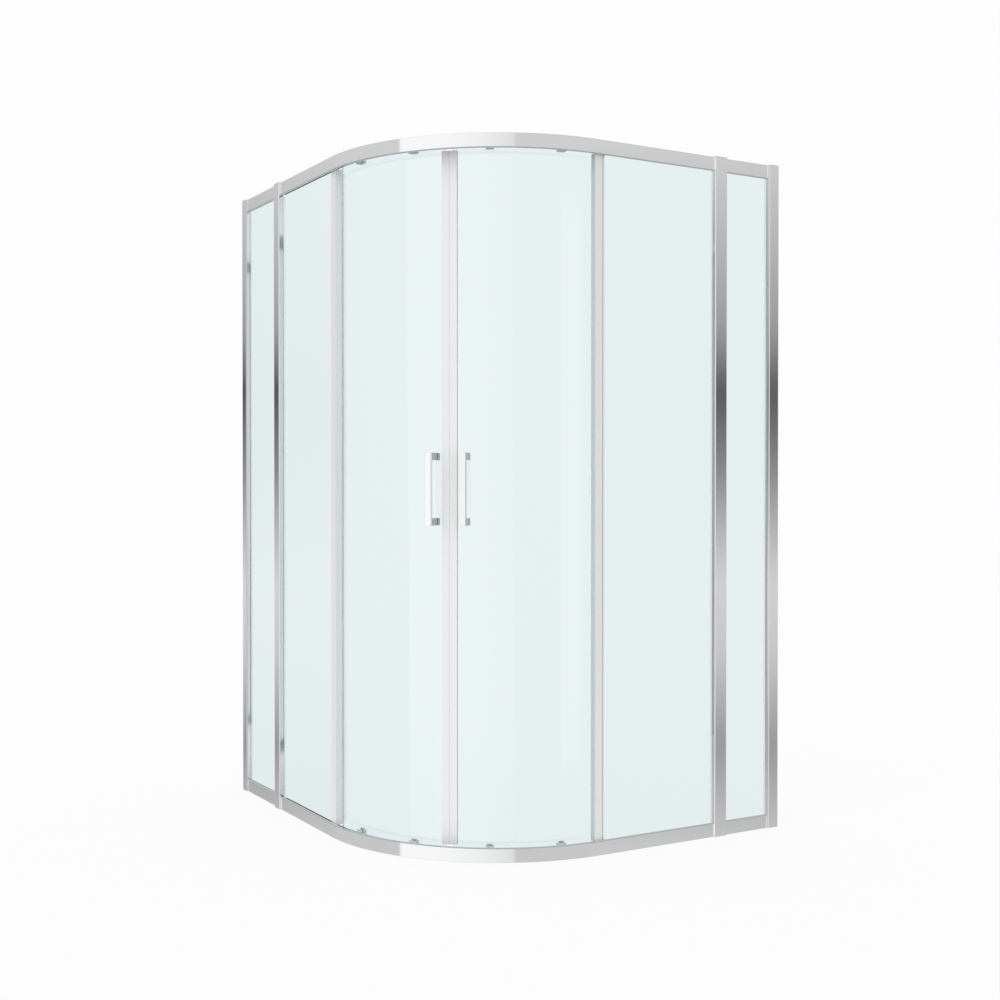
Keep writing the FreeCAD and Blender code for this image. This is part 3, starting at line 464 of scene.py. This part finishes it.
def open_inputs(nodes, inputs):
    """Give a geometry tree its named inputs and its one output; returns the inputs' sockets."""
    sockets = nodes.tree.interface
    for name, kind in inputs:
        sockets.new_socket(name, in_out="INPUT", socket_type="NodeSocket" + kind)
    sockets.new_socket("Geometry", in_out="OUTPUT", socket_type="NodeSocketGeometry")
    return nodes.add("NodeGroupInput").outputs


def dress(nodes, geometry, finish_socket):
    """End a geometry tree: one plain mesh with its material."""
    whole = nodes.add("GeometryNodeRealizeInstances", None, {"Geometry": geometry})
    dressed = nodes.add("GeometryNodeSetMaterial", None,
                        {"Geometry": whole.outputs[0], "Material": finish_socket})
    nodes.add("NodeGroupOutput", None, {"Geometry": dressed.outputs[0]})


def rib_tree():
    """Geometry nodes: a row of straight upright beads, placed and turned as one."""
    tree = bpy.data.node_groups.new("seal_ribs", "GeometryNodeTree")
    nodes = Nodes(tree)
    given = open_inputs(nodes, (
        ("Count", "Int"), ("Pitch", "Float"), ("Length", "Float"), ("Radius", "Float"),
        ("Place", "Vector"), ("Turn", "Vector"), ("Finish", "Material")))
    step = nodes.add("ShaderNodeCombineXYZ", None, {"X": given["Pitch"]})
    reach = nodes.add("ShaderNodeMath", {"operation": "MULTIPLY_ADD"},
                      {0: given["Count"], 1: -0.5, 2: 0.5})
    start = nodes.add("ShaderNodeVectorMath", {"operation": "SCALE"},
                      {0: step.outputs[0], "Scale": reach.outputs[0]})
    row = nodes.add("GeometryNodeMeshLine", {"mode": "OFFSET"},
                    {"Count": given["Count"], "Start Location": start.outputs[0],
                     "Offset": step.outputs[0]})
    end = nodes.add("ShaderNodeCombineXYZ", None, {"Z": given["Length"]})
    path = nodes.add("GeometryNodeCurvePrimitiveLine", None, {"End": end.outputs[0]})
    round_bead = nodes.add("GeometryNodeCurvePrimitiveCircle", None,
                           {"Resolution": RIB_SIDES, "Radius": given["Radius"]})
    bead = nodes.add("GeometryNodeCurveToMesh", None,
                     {"Curve": path.outputs[0], "Profile Curve": round_bead.outputs[0],
                      "Fill Caps": True})
    beads = nodes.add("GeometryNodeInstanceOnPoints", None,
                      {"Points": row.outputs[0], "Instance": bead.outputs[0]})
    placed = nodes.add("GeometryNodeTransform", None,
                       {"Geometry": beads.outputs[0], "Translation": given["Place"],
                        "Rotation": given["Turn"]})
    dress(nodes, placed.outputs[0], given["Finish"])
    return tree


def grown(name, tree, values):
    """The plain mesh that a geometry tree makes from named input values."""
    seed = bpy.data.objects.new(name + "_seed", bpy.data.meshes.new(name + "_seed"))
    bpy.context.scene.collection.objects.link(seed)
    modifier = seed.modifiers.new(name, "NODES")
    modifier.node_group = tree
    for item in tree.interface.items_tree:
        if item.in_out == "INPUT":
            modifier[item.identifier] = values[item.name]
    evaluated = seed.evaluated_get(bpy.context.evaluated_depsgraph_get())
    mesh = bpy.data.meshes.new_from_object(evaluated)
    seed.modifiers.remove(modifier)
    bpy.data.objects.remove(seed)
    piece = bpy.data.objects.new(name, mesh)
    bpy.context.scene.collection.objects.link(piece)
    return piece


rib_pattern = rib_tree()


def add_ribs(name, body, node, count, pitch, place, turn, material):
    """A row of ribs as tall as a CAD node, riding on a body."""
    low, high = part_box(node)
    piece = grown(name, rib_pattern, {
        "Count": count, "Pitch": pitch, "Length": high.z - low.z, "Radius": RIB_RADIUS,
        "Place": (place[0], place[1], low.z), "Turn": (0, 0, turn), "Finish": material})
    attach(piece, body)


def add_seal_ribs():
    magnet_face = ARC_RADIUS - DOOR_SETBACK - GLASS_THICK / 2 + MAGNET_DEPTH / 2
    half_strip = MAGNET_WIDTH / 2 / (ARC_RADIUS - DOOR_SETBACK)
    for side in SIDES:
        angle = math.radians(45) + (-half_strip if side == "left" else half_strip)
        reach = magnet_face - RIB_SINK
        place = (ARC_CENTRE[0] - reach * math.cos(angle), ARC_CENTRE[1] - reach * math.sin(angle))
        add_ribs(side + "_magnet_ribs", side + "_door", side + "_magnetic_seal", MAGNET_RIBS,
                 MAGNET_RIB_PITCH, place, angle + math.radians(90), magnet_vinyl)
        low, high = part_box(side + "_seam_seal")
        if side == "left":
            place = (low.x + RIB_SINK, high.y - SEAM_WIDTH / 2)
            turn = math.radians(90)
        else:
            place = (high.x - SEAM_WIDTH / 2, low.y + RIB_SINK)
            turn = 0
        add_ribs(side + "_seam_ribs", "frame", side + "_seam_seal", SEAM_RIBS, SEAM_RIB_PITCH,
                 place, turn, seam_vinyl[side])


add_seal_ribs()


# Grey beads along the rails' edges towards the glass: a dark strip that paints the shadow line at each
# rail's edge

BEAD_RADIUS = 0.0016
BEAD_DEPTH = 0.0005
BEAD_SIDES = 12
BEND_POINTS = 64


def bead_tree():
    """Geometry nodes: a round bead along one side, the quarter arc and the other side."""
    tree = bpy.data.node_groups.new("rail_bead", "GeometryNodeTree")
    nodes = Nodes(tree)
    given = open_inputs(nodes, (
        ("Arc Radius", "Float"), ("Run", "Float"), ("Depth", "Float"), ("Bead Radius", "Float"),
        ("Place", "Vector"), ("Finish", "Material")))

    def point(x, y):
        return nodes.add("ShaderNodeCombineXYZ", None, {"X": given[x], "Y": given[y]}).outputs[0]

    left = nodes.add("GeometryNodeCurvePrimitiveLine", None,
                     {"Start": point("Depth", "Run"), "End": point("Depth", "Arc Radius")})
    right = nodes.add("GeometryNodeCurvePrimitiveLine", None,
                      {"Start": point("Arc Radius", "Depth"), "End": point("Run", "Depth")})
    inner = Amount(nodes, given["Arc Radius"]) - Amount(nodes, given["Depth"])
    turn = nodes.add("GeometryNodeCurveArc", {"mode": "RADIUS"},
                     {"Resolution": BEND_POINTS, "Radius": inner,
                      "Start Angle": math.radians(180), "Sweep Angle": math.radians(90)})
    bend = nodes.add("GeometryNodeTransform", None,
                     {"Geometry": turn.outputs[0], "Translation": point("Arc Radius", "Arc Radius")})
    path = nodes.add("GeometryNodeJoinGeometry", None,
                     {"Geometry": [left.outputs[0], bend.outputs[0], right.outputs[0]]})
    ring = nodes.add("GeometryNodeCurvePrimitiveCircle", None,
                     {"Resolution": BEAD_SIDES, "Radius": given["Bead Radius"]})
    bead = nodes.add("GeometryNodeCurveToMesh", None,
                     {"Curve": path.outputs[0], "Profile Curve": ring.outputs[0], "Fill Caps": True})
    placed = nodes.add("GeometryNodeTransform", None,
                       {"Geometry": bead.outputs[0], "Translation": given["Place"]})
    dress(nodes, placed.outputs[0], given["Finish"])
    return tree


def bead_level(node):
    """Height of the bead on a rail: just inside the edge that faces the glass."""
    low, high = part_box(node)
    return low.z + BEAD_RADIUS if "top" in node else high.z - BEAD_RADIUS


def add_rail_beads():
    tree = bead_tree()
    for node in ("top_rail", "bottom_rail"):
        low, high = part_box(node)
        piece = grown(node + "_bead", tree, {
            "Arc Radius": ARC_RADIUS, "Run": high.x - low.x, "Depth": BEAD_DEPTH,
            "Bead Radius": BEAD_RADIUS, "Place": (low.x, low.y, bead_level(node)),
            "Finish": edge_vinyl})
        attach(piece, "frame")
    for side in SIDES:
        for level in ("top", "bottom"):
            node = "%s_extension_%s_rail" % (side, level)
            low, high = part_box(node)
            if side == "left":
                place = (low.x + BEAD_DEPTH, low.y, bead_level(node))
                turn = (math.radians(-90), 0, 0)
            else:
                place = (low.x, low.y + BEAD_DEPTH, bead_level(node))
                turn = (0, math.radians(90), 0)
            piece = grown(node + "_bead", rib_pattern, {
                "Count": 1, "Pitch": 0.0, "Length": max(high.x - low.x, high.y - low.y),
                "Radius": BEAD_RADIUS, "Place": place, "Turn": turn, "Finish": edge_vinyl})
            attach(piece, "frame")


add_rail_beads()


# Studio

FLOOR_HALF = 15
FLOOR_DROP = 0.0005
FLOOR_PAINT = 0.12
FLOOR_GLOW = WHITE_ROOM - FLOOR_PAINT
FLOOR_BOUNCE = 0.78
SKY_LIGHT = 0.85

# The room that polished uprights mirror, by height of view in degrees: a pale wall with a dark strip
# low down and a wide dark band at eye level
ROOM_BANDS = ((-15.5, 0.69), (-10.4, 0.33), (-6.8, 0.62), (-4, 0.71),
              (0.6, 0.27), (3.9, 0.09), (6.4, 0.36), (15.6, 0.755))

# Where those bands are, for the uprights at the left and at the right: first bearing, last bearing and
# softness of the ends, in degrees
LEFT_BANDED = (-30, 0, 4)
RIGHT_BANDED = (126, 151, 3)

# Brightness of the rest of the room, by height
ROOM_GREYS = ((-6, 0.62), (6, 0.675))

# Brightness of the white card at the left, by bearing in degrees
CARD_BANDS = ((-162, 0.78), (-139, 0.945), (-115, 1.02))
CARD_ENDS = (-160, -88, 0.4)

# Patches of the room that the uprights' narrow sides and the handles mirror, by bearing and by height
PALE_PATCH = (155, 168, 1.5)
DIM_PATCH = (-46, -34, 1.5)
SHADE_PATCH = (50, 100, 5)
PATCH_HEIGHTS = (-11.5, 11.5, 1)
ROOM_PALE = 0.90
ROOM_DIM = 0.50
ROOM_SHADE = 0.40

LAMP_HEIGHT = math.radians(55)
LAMP_BEARING = math.radians(-65)
LAMP_SPREAD = math.radians(35)

CAMERA_SENSOR = 36
CAMERA_LENS = 49.834
CAMERA_CLIP = 60
CAMERA_BACK = (1.5900, 3.1136)
CAMERA_HEIGHT = 1.0083
CAMERA_TILT = 0.5761
CAMERA_TURN = -30.3899


def studio_floor():
    """Pale floor that shows white to the camera and keeps a faint shadow."""
    mesh = bpy.data.meshes.new("floor")
    level = cad_box[0][2] - FLOOR_DROP
    mesh.from_pydata([(-FLOOR_HALF, -FLOOR_HALF, level), (FLOOR_HALF, -FLOOR_HALF, level),
                      (FLOOR_HALF, FLOOR_HALF, level), (-FLOOR_HALF, FLOOR_HALF, level)],
                     [], [(0, 1, 2, 3)])
    floor = bpy.data.objects.new("floor", mesh)
    bpy.context.scene.collection.objects.link(floor)
    material, nodes = finish("pale_floor")
    path = nodes.add("ShaderNodeLightPath").outputs
    paint = nodes.add("ShaderNodeBsdfDiffuse", None, {"Color": grey(FLOOR_PAINT)})
    shown = Amount(nodes, path["Is Camera Ray"]) * FLOOR_GLOW
    bounced = Amount(nodes, path["Is Diffuse Ray"]) * FLOOR_BOUNCE
    glow = nodes.add("ShaderNodeEmission", None, {"Strength": shown + bounced})
    lit = nodes.add("ShaderNodeAddShader", None, {0: paint.outputs[0], 1: glow.outputs[0]})
    clear = nodes.add("ShaderNodeBsdfTransparent")
    nodes.surface(nodes.blend(path["Is Glossy Ray"], lit.outputs[0], clear.outputs[0]))
    mesh.materials.append(material)


def grey(level):
    """A neutral colour of one level."""
    return (level, level, level, 1)


def graded(nodes, angle, bands):
    """A grey that follows a table of angles and levels."""
    lowest, highest = bands[0][0], bands[-1][0]
    stops = [((turn - lowest) / (highest - lowest), grey(level)) for turn, level in bands]
    share = (angle - lowest) / (highest - lowest)
    return nodes.add("ShaderNodeValToRGB", {"stops": stops}, {"Fac": share}).outputs[0]


def studio_room():
    """White to the camera; polished surfaces see grey bands and a tall white card at the left."""
    world = bpy.data.worlds.new("studio")
    world.use_nodes = True
    bpy.context.scene.world = world
    nodes = Nodes(world.node_tree)
    path = nodes.add("ShaderNodeLightPath").outputs
    x, y, z = nodes.axes(nodes.add("ShaderNodeTexCoord").outputs["Generated"])
    bearing = x.maths("ARCTAN2", x, y) * math.degrees(1)
    height = z.maths("ARCSINE", z) * math.degrees(1)
    banded = bearing.within(*LEFT_BANDED) + bearing.within(*RIGHT_BANDED)
    walls = nodes.mix(banded, graded(nodes, height, ROOM_GREYS), graded(nodes, height, ROOM_BANDS))
    level = height.within(*PATCH_HEIGHTS)
    walls = nodes.mix(bearing.within(*PALE_PATCH) * level, walls, grey(ROOM_PALE))
    walls = nodes.mix(bearing.within(*DIM_PATCH) * level, walls, grey(ROOM_DIM))
    walls = nodes.mix(bearing.within(*SHADE_PATCH), walls, grey(ROOM_SHADE))
    card = graded(nodes, bearing, CARD_BANDS)
    mirrored = nodes.mix(bearing.within(*CARD_ENDS), walls, card)
    sky = nodes.mix(path["Is Diffuse Ray"], grey(WHITE_ROOM), grey(SKY_LIGHT))
    seen = nodes.mix(path["Is Glossy Ray"], sky, mirrored)
    background = nodes.add("ShaderNodeBackground", None, {"Color": seen})
    nodes.surface(background.outputs[0], "ShaderNodeOutputWorld")


def soft_lamp():
    """One wide soft lamp, high at the left of the camera."""
    lamp = bpy.data.lights.new("soft_lamp", "SUN")
    lamp.energy = (1 - SKY_LIGHT) * math.pi / math.sin(LAMP_HEIGHT)
    lamp.angle = LAMP_SPREAD
    holder = bpy.data.objects.new("soft_lamp", lamp)
    holder.rotation_euler = (math.radians(90) - LAMP_HEIGHT, 0, LAMP_BEARING)
    holder.visible_glossy = False
    bpy.context.scene.collection.objects.link(holder)


def photo_camera():
    """The camera at the photograph's viewing angle."""
    camera = bpy.data.cameras.new("camera")
    camera.sensor_width = CAMERA_SENSOR
    camera.lens = CAMERA_LENS
    camera.clip_end = CAMERA_CLIP
    holder = bpy.data.objects.new("camera", camera)
    holder.location = (corner.x - CAMERA_BACK[0], corner.y - CAMERA_BACK[1], CAMERA_HEIGHT)
    holder.rotation_euler = (math.radians(90 - CAMERA_TILT), 0, math.radians(CAMERA_TURN))
    bpy.context.scene.collection.objects.link(holder)
    bpy.context.scene.camera = holder


studio_floor()
studio_room()
soft_lamp()
photo_camera()
bpy.context.scene.view_settings.view_transform = "Standard"
